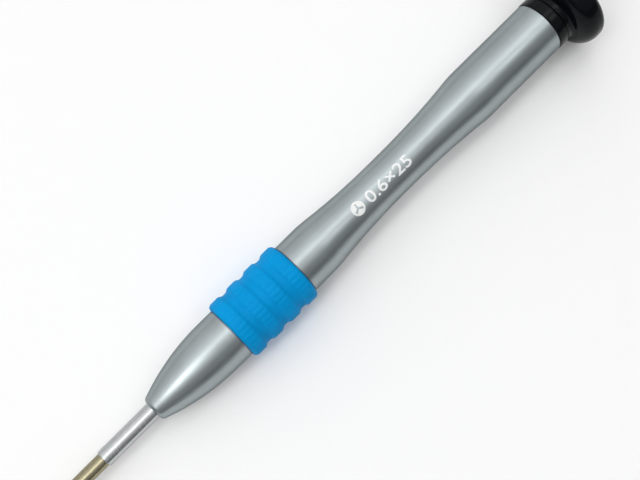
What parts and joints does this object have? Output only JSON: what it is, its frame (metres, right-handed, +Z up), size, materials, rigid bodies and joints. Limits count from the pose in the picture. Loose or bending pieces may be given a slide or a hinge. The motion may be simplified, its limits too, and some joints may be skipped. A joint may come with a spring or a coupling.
{
  "type": "watchmaker screwdriver",
  "caption": "Slim precision screwdriver: waisted metal handle, fluted finger grip, short blade with a three-winged tip, and a round-edged finger cap that spins on a ball bearing.",
  "frame": {"origin": "on the tool's axis at the nose's front face, where the shank comes out of the handle", "axes": "+X along the axis towards the cap, so the blade points to -X; +Z up, with the tool lying down"},
  "size_m": [0.1285, 0.0168, 0.0168],
  "materials": {
    "handle_metal": "satin silver, fine even grain",
    "grip_blue": "soft bright blue, matt",
    "polished_steel": "polished",
    "gold_coating": "titanium-coated, dull gold, polished lengthwise",
    "cap_black": "glossy black",
    "pad_black": "fine satin black",
    "insert_brass": "turned",
    "screw_steel": "turned",
    "bearing_steel": "ground and polished",
    "cage_brass": "pressed"
  },
  "bodies": {
    "handle": {"handle_barrel": "handle_metal", "grip_sleeve": "grip_blue", "grub_screws": "screw_steel", "shank_sleeve": "polished_steel", "blade": "gold_coating", "end_plug": "cap_black", "threaded_insert": "insert_brass", "spindle_screw": "screw_steel", "spacer_washer": "screw_steel", "bearing_inner_ring": "bearing_steel"},
    "cap": {"cap_shell": "cap_black", "cap_pad": "pad_black", "bearing_outer_ring": "bearing_steel", "bearing_shield_front": "bearing_steel", "bearing_shield_rear": "bearing_steel"},
    "ball_set": {"bearing_balls": "bearing_steel", "bearing_cage": "cage_brass"}
  },
  "joints": [
    {"name": "cap_spin", "type": "hinge", "parent": "handle", "child": "cap", "pos_m": [0.09965, 0, 0], "axis": [1, 0, 0], "continuous": true},
    {"name": "ball_set_spin", "type": "hinge", "parent": "handle", "child": "ball_set", "pos_m": [0.09965, 0, 0], "axis": [1, 0, 0], "continuous": true}
  ],
  "couplings": [
    {"joint": "ball_set_spin", "follows": "cap_spin", "ratio": 0.6111}
  ]
}
